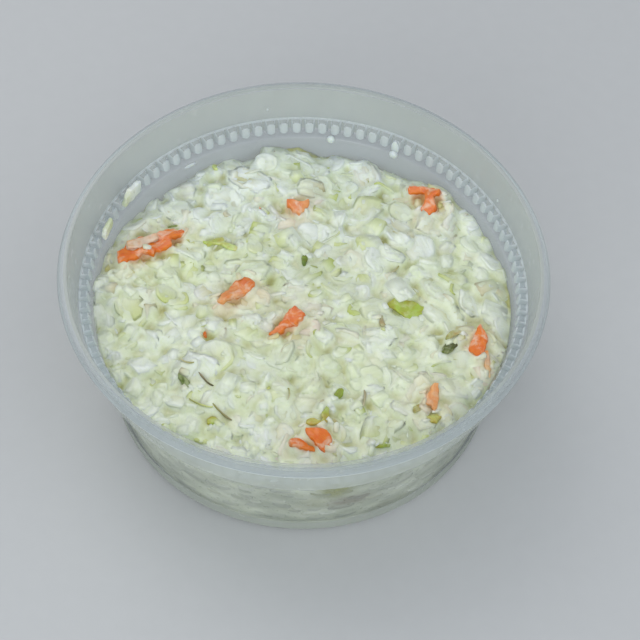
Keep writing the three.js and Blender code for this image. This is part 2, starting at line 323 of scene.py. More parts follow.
def giveFinishes(piece, look=cupLook, ribs=ribLook):
    # each face takes the finish of its part, found by where it is and which way it looks
    middle, facing = faceValues(piece, "center"), faceValues(piece, "normal")
    radius = np.hypot(middle[:, 0], middle[:, 1])
    pitch = 360 / look["ribs"]
    turn = (np.degrees(np.arctan2(middle[:, 1], middle[:, 0])) - look["firstRib"]) % pitch
    off = np.minimum(turn, pitch - turn)
    level = middle[:, 2]
    outward = (facing[:, 0] * middle[:, 0] + facing[:, 1] * middle[:, 1]) / radius
    tall = (level > look["ribFoot"] + 0.2 * mm) & (level < look["ribTop"] + 0.3 * mm)
    onTop = (level > look["ribTop"] - 0.4 * mm) & (radius > look["ribInner"] + 0.3 * mm)
    onTop = onTop & (radius < look["collarFoot"] - 0.7 * mm)
    onRib = tall & (radius < look["collarFoot"] + 0.1 * mm) & (off < ribs["gapHalf"] - 0.1) & ~onTop
    # painted highlight: the chain along the ribs' tops, where they meet the collar, takes the milky rib
    # finish to make a bright line
    onHighlightChain = (np.abs(level - look["ribTop"]) < 0.4 * mm) & (np.abs(radius - look["collarFoot"]) < 0.3 * mm)
    onLip = (level > cupHeight - 0.35 * mm) & (radius < look["rimTop"] - 1 * mm)
    skirtFoot = cupHeight - look["skirtHeight"]
    atSkirt = radius > rimRadius - 1.2 * mm
    # painted highlight: the skirt's foot is given a whiter finish
    onFootHighlight = (level < skirtFoot + 0.4 * mm) & atSkirt
    # painted shade: the skirt's outer face is given a darker finish
    onSkirtShade = (level < cupHeight - 0.4 * mm) & atSkirt & (outward > 0.3) & ~onFootHighlight
    # the collar's outer face is milkier, and painted lighter as painted light scattered in the plastic
    onCollar = (outward > 0.5) & (level < skirtFoot) & (level > look["ribFoot"] - 0.3 * look["wall"])
    onCollar = onCollar & (radius < look["collarTop"] + 1.2 * mm)
    # the base is milkier, and painted a lighter green-grey tone as painted light over the shade under the
    # cup
    onBase = (level < 4.2 * mm) & (radius > 40 * mm)
    finish = np.zeros(len(level), np.int32)
    for number, faces in enumerate((onRib | onHighlightChain, onCollar, onBase, onLip, onSkirtShade, onFootHighlight)):
        finish[faces] = number + 1
    piece.data.polygons.foreach_set("material_index", finish)
    print("milky faces", int((finish > 0).sum()))


# parts of the finishes
def newMaterial(name):
    material = bpy.data.materials.new(name)
    material.use_nodes = True
    tree = material.node_tree
    tree.nodes.clear()
    output = tree.nodes.new("ShaderNodeOutputMaterial")
    shader = tree.nodes.new("ShaderNodeBsdfPrincipled")
    tree.links.new(shader.outputs["BSDF"], output.inputs["Surface"])
    where = tree.nodes.new("ShaderNodeTexCoord").outputs["Object"]
    return material, tree, shader, where


def noise(tree, where, scale, detail=3, roughness=0.55, distortion=0):
    node = tree.nodes.new("ShaderNodeTexNoise")
    node.inputs["Scale"].default_value = scale
    node.inputs["Detail"].default_value = detail
    node.inputs["Roughness"].default_value = roughness
    node.inputs["Distortion"].default_value = distortion
    tree.links.new(where, node.inputs["Vector"])
    return node.outputs["Fac"]


def ramp(tree, source, stops):
    node = tree.nodes.new("ShaderNodeValToRGB")
    for i, (position, colour) in enumerate(stops):
        stop = node.color_ramp.elements[i] if i < 2 else node.color_ramp.elements.new(position)
        stop.position = position
        stop.color = (*colour, 1)
    tree.links.new(source, node.inputs["Fac"])
    return node.outputs["Color"]


def between(tree, source, low, high):
    node = tree.nodes.new("ShaderNodeMapRange")
    node.inputs["To Min"].default_value = low
    node.inputs["To Max"].default_value = high
    tree.links.new(source, node.inputs["Value"])
    return node.outputs["Result"]


def bump(tree, shader, source, distance, strength=1.0):
    node = tree.nodes.new("ShaderNodeBump")
    node.inputs["Distance"].default_value = distance
    node.inputs["Strength"].default_value = strength
    tree.links.new(source, node.inputs["Height"])
    tree.links.new(node.outputs["Normal"], shader.inputs["Normal"])


def milkyPlastic(name, tone, cover):
    # natural polypropylene: it lets most light through, scatters the rest, and has a satin surface
    material, tree, shader, where = newMaterial(name)
    dark = tuple(0.93 * value for value in tone)
    cloudy = ramp(tree, noise(tree, where, 90, 4), [(0.3, dark), (0.7, tone)])
    tree.links.new(cloudy, shader.inputs["Base Color"])
    tree.links.new(between(tree, noise(tree, where, 260, 2), 0.22, 0.3), shader.inputs["Roughness"])
    shader.inputs["IOR"].default_value = 1.49
    shader.inputs["Alpha"].default_value = cover
    shader.inputs["Specular IOR Level"].default_value = 0.9
    bump(tree, shader, noise(tree, where, 140, 3), 0.02 * mm, 0.5)
    return material


def paleFloor():
    material, tree, shader, where = newMaterial("paleFloor")
    grain = noise(tree, where, 220, 4)
    tone = ramp(tree, grain, [(0.3, (0.515, 0.525, 0.535)), (0.7, (0.525, 0.535, 0.545))])
    tree.links.new(tone, shader.inputs["Base Color"])
    shader.inputs["Roughness"].default_value = 0.6
    return material


cup = makeCup()
cup.data.materials.clear()
for name, (tone, cover) in cupFinishes.items():
    cup.data.materials.append(milkyPlastic(name, tone, cover))
giveFinishes(cup)
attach(cup, "root")
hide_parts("cup")
print("cup", len(cup.data.polygons), "faces")

# the slaw: chopped pieces laid one by one on a pile, up to the level of the heap
heapLook = dict(
    edge=27.2 * mm, dome=2.6 * mm, slope=0.045, wave=0.7 * mm,
    coreInWall=0.05 * mm, piecesInWall=0.09 * mm,
    cell=0.34 * mm, startBelow=2.4 * mm, fillTo=1.1 * mm, mounds=0.75 * mm, mostPieces=3200,
)
# where the heap climbs the wall or has fallen away from it: angle, half width in degrees, height in mm
edgeLumps = [
    (179, 4, 2.4), (157, 7, 1.8), (149, 4, 1.6), (133, 8, -2.2), (124, 3, 1.4), (104, 5, -1.8),
    (87, 4, -1.8), (82, 3, 0.9), (59, 4, -2.0), (43, 3, 1.6), (35, 3, 2.4), (12, 8, 1.4),
    (-62, 9, 0.8), (-118, 8, 0.9),
]


def heapLevel(x, y, heap=heapLook):
    share = (x * x + y * y) / cupLook["bodyTop"] ** 2
    a, b = x / mm, y / mm
    waves = np.sin(a / 8.5 + 0.4) * np.cos(b / 10 - 0.7) + 0.6 * np.sin((a + b) / 6.2 + 1.9)
    level = heap["edge"] + heap["dome"] * (1 - share) - heap["slope"] * y + heap["wave"] * waves
    around = np.degrees(np.arctan2(y, x))
    for angle, half, height in edgeLumps:
        off = (around - angle + 180) % 360 - 180
        level = level + height * mm * np.exp(-(off / half) ** 2) * np.clip(share, 0, 1) ** 4
    return level


def wallRadius(z, look=cupLook):
    floorTop = look["baseLift"] + look["wall"] + look["baseCorner"]
    share = (z - floorTop) / (look["ribFoot"] - look["ledgeDrop"] - floorTop)
    return look["bodyFoot"] + (look["bodyTop"] - look["bodyFoot"]) * np.clip(share, 0, 1)


def pressedToWall(place, into):
    # what would stick out of the cup lies flat against its wall
    radius = np.hypot(place[:, 0], place[:, 1])
    most = wallRadius(place[:, 2]) + into
    pull = np.where(radius > most, most / np.maximum(radius, 1e-9), 1.0)
    place[:, 0] *= pull
    place[:, 1] *= pull
    return place


tints = dict(
    white=(0.86, 0.90, 0.79), pale=(0.80, 0.86, 0.62), cream=(0.78, 0.75, 0.56), coat=(0.86, 0.89, 0.84),
    yellow=(0.66, 0.71, 0.28), lime=(0.42, 0.50, 0.065), leaf=(0.26, 0.36, 0.02), dark=(0.10, 0.15, 0.006),
    olive=(0.33, 0.31, 0.08), ochre=(0.50, 0.42, 0.07), soot=(0.06, 0.055, 0.01), tan=(0.60, 0.54, 0.36),
    brown=(0.30, 0.24, 0.14), peach=(0.80, 0.52, 0.30), carrot=(0.80, 0.175, 0.006),
    carrotPale=(0.84, 0.36, 0.14), blushed=(0.76, 0.52, 0.40), bluish=(0.74, 0.80, 0.80),
    greenish=(0.62, 0.68, 0.47), drop=(0.70, 0.77, 0.80),
)
tints = {name: np.array(colour) for name, colour in tints.items()}
# painted shade: what lies low is painted darker and yellower, and so is the film in the hollows
paintedLowShade = np.array((0.72, 0.65, 0.32))
paintedHollowShade = np.array((0.64, 0.59, 0.31))

# the heap is kept as a grid of cells: how high the pile is, its tint, how much carrot blushes it,
# and where the film is wiped off a piece that shows
cells = np.arange(-51.2 * mm, 51.2 * mm, heapLook["cell"])
cellX, cellY = np.meshgrid(cells, cells, indexing="ij")
insideCup = np.hypot(cellX, cellY) < wallRadius(heapLook["edge"])
pile = heapLevel(cellX, cellY) - heapLook["startBelow"]
pileTint = np.tile(tints["pale"], cellX.shape + (1,))
blush = np.zeros(cellX.shape)
bare = np.zeros(cellX.shape)


def cellOf(x):
    return np.clip(np.round((x - cells[0]) / heapLook["cell"]).astype(int), 0, len(cells) - 1)


def shifted(grid, di, dj):
    return np.roll(np.roll(grid, di, 0), dj, 1)


def blurred(grid, passes):
    for i in range(passes):
        grid = (shifted(grid, 1, 0) + shifted(grid, -1, 0) + 2 * grid) / 4
        grid = (shifted(grid, 0, 1) + shifted(grid, 0, -1) + 2 * grid) / 4
    return grid


def sample(grid, x, y):
    # between the cells, the value is blended
    i, j = (x - cells[0]) / heapLook["cell"], (y - cells[0]) / heapLook["cell"]
    i0, j0 = np.floor(i).astype(int), np.floor(j).astype(int)
    u, v = i - i0, j - j0
    if grid.ndim == 3:
        u, v = u[:, None], v[:, None]
    last = len(cells) - 1
    i0, j0, i1, j1 = (np.clip(k, 0, last) for k in (i0, j0, i0 + 1, j0 + 1))
    low = grid[i0, j0] * (1 - v) + grid[i0, j1] * v
    high = grid[i1, j0] * (1 - v) + grid[i1, j1] * v
    return low * (1 - u) + high * u


def around(x, y, length, width, yaw):
    # the cells under a piece, and where they are in its own directions
    reach = int(0.5 * max(length, width) / heapLook["cell"]) + 1
    i, j = cellOf(np.array([x, y]))
    window = (slice(max(i - reach, 0), i + reach + 1), slice(max(j - reach, 0), j + reach + 1))
    dx, dy = cellX[window] - x, cellY[window] - y
    along = dx * math.cos(yaw) + dy * math.sin(yaw)
    across = dy * math.cos(yaw) - dx * math.sin(yaw)
    under = (along / (0.47 * length)) ** 2 + (across / (0.47 * width)) ** 2 < 1
    return window, dx, dy, under & insideCup[window]


def layPiece(x, y, size, yaw, tip, sink, tint, steepest=0.6):
    # a piece leans as the pile under it does, is tipped a little more, and the pile grows by it
    length, width, thick = size
    window, dx, dy, under = around(x, y, length, width, yaw)
    if under.sum() < 3:
        return None
    heights = pile[window][under]
    flat = np.stack([dx[under], dy[under], np.ones(under.sum())], 1)
    slope = np.linalg.lstsq(flat, heights, rcond=None)[0]
    lean = np.clip(slope[:2], -steepest, steepest)
    rest = np.percentile(heights - lean[0] * dx[under] - lean[1] * dy[under], 60)
    centre = rest + thick * (0.5 - sink)
    lean = np.clip(lean + tip, -1.2, 1.2)
    top = centre + lean[0] * dx + lean[1] * dy + 0.42 * thick
    raised = under & (top > pile[window])
    pile[window] = np.where(raised, top, pile[window])
    pileTint[window][raised] = tint
    upward = Vector((-lean[0], -lean[1], 1)).normalized()
    forward = Vector((math.cos(yaw), math.sin(yaw), 0))
    forward = (forward - upward * forward.dot(upward)).normalized()
    turn = np.array(Matrix((forward, upward.cross(forward), upward)).transposed())
    return turn * np.array([length, width, thick]), np.array([x, y, centre])


# shapes of one chopped piece each, about 1 across, to be copied at many sizes
def keptShape(piece):
    editAll(piece)
    leaveEdit(0.004)
    settle(piece)
    corners = points(piece)
    low, high = corners.min(0), corners.max(0)
    corners = (corners - (low + high) / 2) / (high - low)
    faces = [tuple(face.vertices) for face in piece.data.polygons]
    bpy.data.objects.remove(piece)
    return corners, faces


def chunkShape(seed):
    # a lump chopped from the thick of a rib: a block with two corners cut off and soft edges
    bpy.ops.mesh.primitive_cube_add(size=1)
    piece = startPiece("chunk")
    turns = np.random.default_rng(seed)
    bpy.ops.object.mode_set(mode="EDIT")
    bpy.ops.mesh.subdivide(number_cuts=1)
    bpy.ops.transform.vertex_random(offset=0.17, seed=seed)
    bpy.ops.mesh.vertices_smooth(factor=0.45)
    for cut in range(2):
        way = turns.normal(0, 1, 3)
        way = way / np.linalg.norm(way)
        bpy.ops.mesh.select_all(action="SELECT")
        bpy.ops.mesh.bisect(
            plane_co=tuple(way * 0.36), plane_no=tuple(way), use_fill=True, clear_outer=True)
    bpy.ops.object.mode_set(mode="OBJECT")
    return keptShape(piece)


def sliceShape(seed):
    # a slice with an uneven outline, soft edges and a low hump
    bpy.ops.mesh.primitive_cylinder_add(vertices=7 + seed % 3, radius=0.5, depth=0.34)
    piece = startPiece("slice")
    bpy.ops.object.mode_set(mode="EDIT")
    bpy.ops.transform.vertex_random(offset=0.14, seed=seed)
    bpy.ops.mesh.bevel(offset=0.09, segments=1, affect="EDGES")
    bpy.ops.object.mode_set(mode="OBJECT")
    place = points(piece)
    place[:, 2] += 0.22 * np.cos(2.2 * place[:, 0] + seed) * np.cos(2.6 * place[:, 1] - 0.6 * seed)
    movePoints(piece, place)
    return keptShape(piece)


def shredShape(seed, steps=6):
    # a strip drawn from its end, step by step, curling and narrowing
    bpy.ops.mesh.primitive_plane_add(size=0.2, rotation=(0, math.pi / 2, 0))
    piece = startPiece("shred")
    settle(piece)
    curl = 0.10 + 0.08 * (seed % 3)
    bpy.ops.object.mode_set(mode="EDIT")
    bpy.ops.transform.resize(value=(1, 0.6, 0.6))
    for i in range(steps):
        heading = curl * (i - 1.5) * 1.6
        step = (0.19 * math.cos(heading), 0.19 * math.sin(heading), 0.05 * math.sin(1.9 * i + seed))
        bpy.ops.mesh.extrude_region_move(TRANSFORM_OT_translate={"value": step})
        widen = 1.55 if i == 0 else 0.6 if i == steps - 1 else 1.0 + 0.16 * math.sin(seed + 2.3 * i)
        bpy.ops.transform.resize(value=(1, widen, widen))
    bpy.ops.object.mode_set(mode="OBJECT")
    return keptShape(piece)


def leafShape(seed, columns=6, rows=4):
    # a thin wavy flake with a torn outline
    bpy.ops.mesh.primitive_grid_add(x_subdivisions=columns, y_subdivisions=rows, size=1)
    piece = startPiece("leaf")
    place = points(piece)
    x, y = place[:, 0] * 2, place[:, 1] * 2
    rounding = 1 - 0.24 * np.abs(x * y) ** 1.2
    wave = 0.30 * np.sin(2.3 * x + seed) * np.cos(1.6 * y + 0.7 * seed) + 0.14 * np.sin(4.5 * y + seed)
    movePoints(piece, np.stack([place[:, 0] * rounding, place[:, 1] * rounding, wave], 1))
    bpy.ops.object.mode_set(mode="EDIT")
    bpy.ops.transform.vertex_random(offset=0.05, seed=seed)
    bpy.ops.object.mode_set(mode="OBJECT")
    applyModifier(piece, "SOLIDIFY", thickness=0.2, offset=0)
    return keptShape(piece)


def paintedEdgeLight(x, y):
    # painted light: the middle of the heap is painted a little darker than its edges, which are painted
    # lighter against the shade of the wall, and the back is painted the whitest and bluest
    edge = 0.972 + 0.1 * (x * x + y * y) / (48 * mm) ** 2
    back = np.clip(y / (50 * mm), 0, 1)
    return edge[..., None] * np.stack([np.ones_like(back), 1.026 + 0.02 * back, 1 + 0.13 * back], -1)


def shaded(place):
    # painted shade: what lies lower than the skin of the heap is painted darker and yellower
    skin = sample(skinOfHeap, place[:, 0], place[:, 1])
    low = np.clip((skin - place[:, 2] - 0.1 * mm) / (1.1 * mm), 0, 1)[:, None] ** 1.4
    # but much less against the wall
    gap = wallRadius(place[:, 2]) - np.hypot(place[:, 0], place[:, 1])
    low *= 0.2 + 0.8 * np.clip((gap - 0.5 * mm) / (1.6 * mm), 0, 1)[:, None]
    # painted light: the edges and the back are painted lighter
    return (1 - low * (1 - paintedLowShade)) * paintedEdgeLight(place[:, 0], place[:, 1])


def copiesOf(name, rows, into=None, withPaintedShade=True):
    # a row for each copy: its shape, its turn and size, its place and the tints of its two ends
    into = heapLook["piecesInWall"] if into is None else into
    corners, loops, starts, totals, colours, grains = [], [], [], [], [], []
    count, loopCount = 0, 0
    for (shape, faces), (turn, centre), first, second in rows:
        corners.append(shape @ turn.T + centre)
        blend = shape[:, :1] + 0.5
        colours.append(first * (1 - blend) + second * blend)
        size = np.linalg.norm(turn, axis=0)
        grains.append(shape * size + centre[[1, 0, 2]] * 7)
        for face in faces:
            loops.extend(corner + count for corner in face)
            starts.append(loopCount)
            totals.append(len(face))
            loopCount += len(face)
        count += len(shape)
    mesh = bpy.data.meshes.new(name)
    mesh.vertices.add(count)
    mesh.loops.add(loopCount)
    mesh.polygons.add(len(starts))
    place = pressedToWall(np.concatenate(corners), into)
    mesh.vertices.foreach_set("co", place.astype(np.float32).ravel())
    mesh.loops.foreach_set("vertex_index", loops)
    mesh.polygons.foreach_set("loop_start", starts)
    mesh.polygons.foreach_set("use_smooth", np.ones(len(starts), bool))
    mesh.update(calc_edges=True)
    # when asked for, painted shade in the low places and painted light at the edges and back
    paint(mesh, np.concatenate(colours) * (shaded(place) if withPaintedShade else 1))
    grain = mesh.attributes.new(name="grain", type="FLOAT_VECTOR", domain="POINT")
    grain.data.foreach_set("vector", np.concatenate(grains).astype(np.float32).ravel())
    piece = bpy.data.objects.new(name, mesh)
    bpy.context.scene.collection.objects.link(piece)
    print(name, len(rows), "pieces,", int(sum(total - 2 for total in totals)), "triangles")
    return piece


def paint(mesh, colours):
    tint = mesh.color_attributes.new(name="tint", type="FLOAT_COLOR", domain="POINT")
    colours = np.concatenate([colours, np.ones((len(colours), 1))], 1)
    tint.data.foreach_set("color", colours.astype(np.float32).ravel())


kinds = dict(
    cabbageChunks=dict(
        share=0.34, shapes=[chunkShape(i) for i in range(12)], median=4.0 * mm, spread=0.36,
        width=(0.6, 1.0), thick=(1.5 * mm, 2.9 * mm)),
    cabbageSlices=dict(
        share=0.32, shapes=[sliceShape(i) for i in range(10)], median=5.2 * mm, spread=0.34,
        width=(0.55, 0.95), thick=(1.1 * mm, 1.9 * mm)),
    cabbageShreds=dict(
        share=0.13, shapes=[shredShape(i) for i in range(6)], median=6.2 * mm, spread=0.25,
        width=(0.2, 0.36), thick=(0.9 * mm, 1.5 * mm)),
    cabbageFlakes=dict(
        share=0.13, shapes=[leafShape(i) for i in range(8)], median=6.4 * mm, spread=0.3,
        width=(0.6, 0.95), thick=(1.3 * mm, 2.4 * mm)),
    cabbageCrumbs=dict(
        share=0.08, shapes=[chunkShape(20 + i) for i in range(4)], median=1.6 * mm, spread=0.25,
        width=(0.6, 1.0), thick=(0.8 * mm, 1.2 * mm)),
)


def pieceTints(x, y):
    # mostly white, in patches paler green or yellower, and here and there a green end;
    # near carrot it is stained
    a, b = x / mm, y / mm
    drift = math.sin(a / 13 + 1) * math.cos(b / 9 + 2) + 0.5 * math.sin(b / 5 + 0.8 * math.sin(a / 6))
    draw = dice.random()
    share = min(1, max(0, dice.normal(0.42 + 0.34 * drift, 0.35)))
    first = tints["white"] * (1 - share) + tints["pale"] * share
    if dice.random() < 0.25:
        first = (first + tints["coat"]) / 2
    second = first
    if draw > 0.86 - 0.06 * drift:
        second = tints["yellow"] + (tints["lime"] - tints["yellow"]) * dice.random() * 0.8
    elif draw > 0.56:
        second = first + (tints["yellow"] - first) * dice.random()
    elif draw > 0.47:
        second = tints["cream"]
    elif draw > 0.44:
        second = tints["tan"]
    i, j = cellOf(np.array([x, y]))
    stain = blush[i, j] * dice.uniform(0.1, 0.7)
    return first * (1 - stain) + tints["peach"] * stain, second * (1 - stain) + tints["peach"] * stain


def lowestPlace(target, tries=10):
    # of a few free places, the one where the pile is lowest
    draws = dice.random((tries, 2))
    radius = wallRadius(heapLook["edge"]) * np.sqrt(draws[:, 0]) * 0.985
    xs = radius * np.cos(2 * math.pi * draws[:, 1])
    ys = radius * np.sin(2 * math.pi * draws[:, 1])
    room = (target - pile)[cellOf(xs), cellOf(ys)]
    best = np.argmax(room)
    return xs[best], ys[best], room[best]


def fillHeap(heap=heapLook):
    names = list(kinds)
    rows = {name: [] for name in names}
    shares = [kinds[name]["share"] for name in names]
    # small mounds, a few pieces wide
    a, b = cellX / mm, cellY / mm
    mounds = np.sin(a / 1.5 + 1.2 * np.sin(b / 3.3)) * np.sin(b / 1.3 + 1.4 * np.sin(a / 2.9) + 1)
    mounds = mounds + 0.5 * np.sin((a + b) / 3.1 + np.sin(a / 4)) * np.sin((a - b) / 2.7)
    target = heapLevel(cellX, cellY) + heap["fillTo"] + heap["mounds"] * mounds
    for i in range(heap["mostPieces"]):
        x, y, room = lowestPlace(target)
        if room < 0:
            continue
        name = names[dice.choice(len(names), p=shares)]
        kind = kinds[name]
        length = kind["median"] * math.exp(dice.normal(0, kind["spread"]))
        length = float(np.clip(length, 1.2 * mm, 10 * mm))
        width = length * dice.uniform(*kind["width"])
        thick = min(dice.uniform(*kind["thick"]), 0.7 * length)
        first, second = pieceTints(x, y)
        tip, yaw, sink = dice.normal(0, 0.14, 2), dice.uniform(0, 2 * math.pi), dice.uniform(0.25, 0.6)
        laid = layPiece(x, y, (length, width, thick), yaw, tip, sink, (first + second) / 2)
        if laid is None:
            continue
        shape = kind["shapes"][dice.integers(len(kind["shapes"]))]
        rows[name].append((shape, laid, first, second))
    return rows


def tintedMaterial(name, gloss=0.22, subsurface=0.35, veins=0.35 * mm, striped=True, veil=0, coat=None):
    # each piece carries its own tint, with faint streaks along it, and is wet all over;
    # where there is a veil, dressing of the coat's colour clings to it
    material, tree, shader, where = newMaterial(name)
    tint = tree.nodes.new("ShaderNodeAttribute")
    tint.attribute_name = "tint"
    grain = tree.nodes.new("ShaderNodeAttribute")
    grain.attribute_name = "grain"
    stretch = tree.nodes.new("ShaderNodeMapping")
    stretch.inputs["Scale"].default_value = (0.25, 1.4, 1.0) if striped else (0.8, 0.8, 0.8)
    tree.links.new(grain.outputs["Vector"] if striped else where, stretch.inputs["Vector"])
    streaks = noise(tree, stretch.outputs["Vector"], 800, 4, 0.65, 0 if striped else 1.5)
    mottle = tree.nodes.new("ShaderNodeMix")
    mottle.data_type = "RGBA"
    mottle.blend_type = "MULTIPLY"
    tree.links.new(between(tree, noise(tree, where, 420, 3), 0.1, 0.7), mottle.inputs[0])
    tree.links.new(tint.outputs["Color"], mottle.inputs[6])
    tree.links.new(ramp(tree, streaks, [(0.3, (0.84, 0.87, 0.68)), (0.62, (1, 1, 1))]), mottle.inputs[7])
    colour = mottle.outputs[2]
    if veil:
        # darker and lighter flesh, and dressing that clings in patches
        depth = tree.nodes.new("ShaderNodeMix")
        depth.data_type = "RGBA"
        depth.blend_type = "MULTIPLY"
        depth.inputs[0].default_value = 1
        tree.links.new(colour, depth.inputs[6])
        flesh = ramp(tree, noise(tree, where, 520, 3), [(0.35, (0.94, 0.74, 0.5)), (0.6, (1, 1.08, 1.1))])
        tree.links.new(flesh, depth.inputs[7])
        cling = tree.nodes.new("ShaderNodeMix")
        cling.data_type = "RGBA"
        cling.inputs[7].default_value = (*coat, 1)
        patches = ramp(tree, noise(tree, where, 360, 4, 0.6, 0.6), [(0.50, (0, 0, 0)), (0.66, (1, 1, 1))])
        tree.links.new(between(tree, patches, 0, veil), cling.inputs[0])
        tree.links.new(depth.outputs[2], cling.inputs[6])
        colour = cling.outputs[2]
    tree.links.new(colour, shader.inputs["Base Color"])
    wetness = between(tree, noise(tree, where, 700, 2), gloss, gloss + 0.2)
    tree.links.new(wetness, shader.inputs["Roughness"])
    shader.inputs["Subsurface Weight"].default_value = subsurface
    shader.inputs["Subsurface Radius"].default_value = (1.0, 1.0, 0.7)
    shader.inputs["Subsurface Scale"].default_value = 2.0 * mm
    shader.inputs["Coat Weight"].default_value = 0.4
    shader.inputs["Coat Roughness"].default_value = 0.14
    bump(tree, shader, streaks, veins, 0.8)
    return material


# the pieces that stand out, drawn corner by corner from above, in mm, then their thickness
# and the tints of their two ends
carrotOutlines = [
    ([(-46, 11.6), (-44.6, 12.8), (-44.1, 14.6), (-40.8, 16.6), (-36.3, 18.6), (-33.2, 19.8),
      (-30.2, 19.4), (-29.7, 18.1), (-32, 17.2), (-33.2, 16.4), (-32.8, 14), (-34.4, 13), (-36.6, 12.2),
      (-37, 10.8), (-39.6, 11.6), (-41, 9.8), (-42.8, 9.2), (-43.4, 8), (-45.6, 8.2)],
      2.4, "carrot", "carrot"),
    ([(-44, 14.6), (-40.8, 16.2), (-36.8, 17.6), (-36, 15.6), (-38.6, 14.2), (-40.4, 12.6),
      (-43.4, 12.2)], 1.1, "blushed", "blushed"),
    ([(-20.8, -3.6), (-19.6, -4.4), (-17.8, -2.6), (-15.2, -1.4), (-13.2, -0.7), (-11.9, 0.6),
      (-11.6, 2.2), (-12.8, 3.7), (-14.6, 4.9), (-15.9, 4.6), (-17.4, 2.6), (-18.4, 0.2), (-19.7, -1.6)],
      2.6, "carrotPale", "carrot"),
    ([(-8.2, -12.6), (-7, -13), (-5, -12.7), (-4, -11.3), (-2.8, -10.9), (-1.2, -11), (0.2, -9.6),
      (1, -8.3), (0.2, -7.2), (-1.6, -5.3), (-3.2, -7), (-5, -9.3), (-6.6, -11.2)],
      2.8, "carrot", "carrot"),
    ([(25.5, 35.8), (26.4, 36.8), (29.5, 36.3), (32.6, 35.2), (34.2, 34.4), (34.2, 33.2), (32.4, 32.6),
      (32.8, 30.8), (33.2, 28.8), (31.6, 27.2), (30.4, 26.4), (29.4, 27.2), (29, 29.4), (30.2, 31),
      (30.1, 33.8), (29.2, 34.6), (26, 34.5)], 2.2, "carrot", "carrot"),
    ([(1, -40.4), (3.4, -40.1), (5.2, -40.3), (6.7, -41.4), (7.3, -42.8), (7, -45.6), (5.4, -46.2),
      (4.1, -45), (3, -43.6), (1.6, -42.2)], 2.6, "carrot", "carrot"),
    ([(-2.7, -43.6), (-1.4, -42.8), (0.4, -43), (2.2, -44), (3.8, -44.6), (3.4, -45.6), (0.2, -45.4),
      (-2.2, -44.9)], 2.2, "carrot", "carrot"),
    ([(42.4, -8.8), (43.5, -10.8), (44.4, -12.4), (43.9, -13.8), (43.3, -16.2), (42, -17.4), (41, -16.2),
      (39.5, -15.4), (39.8, -13.8), (41, -11.4)], 2.8, "carrot", "carrot"),
    ([(43, -15.6), (44.2, -15.6), (44.8, -19), (44.5, -22.8), (43.6, -22.4), (43.2, -18.8)],
      1.6, "carrotPale", "peach"),
    ([(28.5, -31.6), (29, -30), (29.8, -28.6), (30.4, -26.9), (31.5, -26.7), (31.8, -28.4),
      (32.1, -30.4), (31.9, -32.8), (31.2, -33.6), (30.4, -32), (29.4, -32.2)],
      2.4, "carrotPale", "carrotPale"),
    ([(-4.9, 29.6), (-3.6, 29.9), (-1.4, 28.8), (0.6, 29.8), (0.9, 28.2), (-0.2, 26.4), (-1.6, 25),
      (-3, 26.2), (-4.5, 28)], 2.4, "carrot", "carrotPale"),
    ([(-23.9, -13.8), (-22.9, -13.6), (-22.7, -12), (-23, -10.8), (-23.7, -11.2)],
      1.2, "carrot", "carrot"),
    ([(-12, 26.8), (-11.4, 27), (-10.4, 25.6), (-10.8, 25.1)], 0.9, "carrot", "soot"),
]
